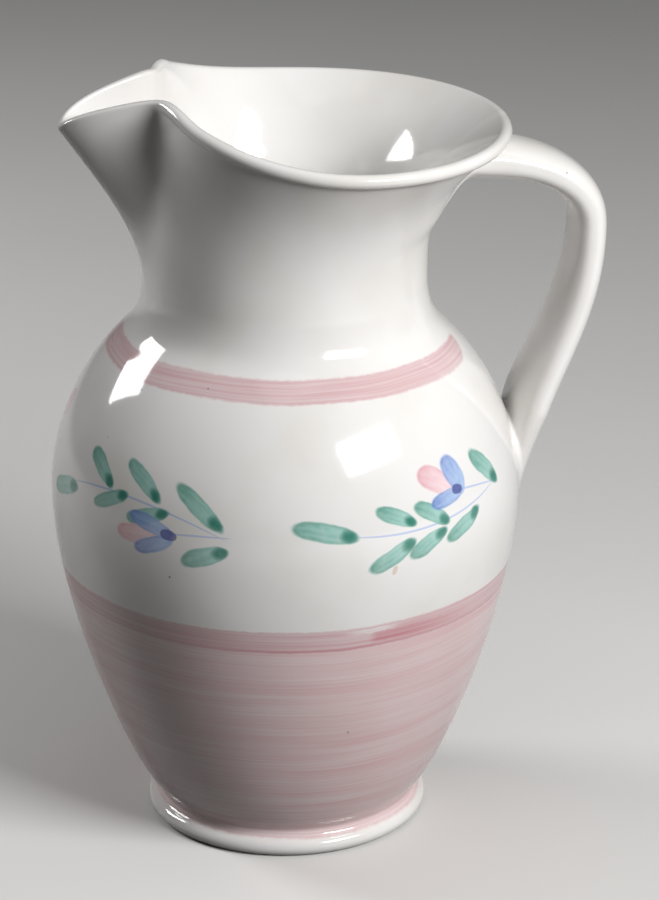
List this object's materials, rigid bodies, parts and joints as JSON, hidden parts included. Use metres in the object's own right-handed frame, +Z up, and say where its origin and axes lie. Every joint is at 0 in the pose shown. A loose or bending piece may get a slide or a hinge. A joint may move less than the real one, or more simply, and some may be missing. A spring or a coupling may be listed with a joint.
{
  "type": "pouring jug",
  "caption": "Glazed earthenware pouring jug with a round belly on a turned foot, a flared neck with a pinched spout, and a luted strap handle.",
  "frame": {"origin": "on the jug's axis, in the plane that the foot stands on", "axes": "+Z up along the axis, +X towards the handle, -X towards the spout"},
  "size_m": [0.2012, 0.17, 0.2796],
  "materials": {
    "white_glaze": "glossy",
    "painted_glaze": "glossy"
  },
  "bodies": {
    "root": {"foot_ring": "white_glaze", "base_disc": "white_glaze", "belly_wall": "painted_glaze", "neck_collar": "white_glaze", "spout": "white_glaze", "handle": "white_glaze", "head_lute": "white_glaze", "tail_lute": "white_glaze"}
  },
  "joints": []
}
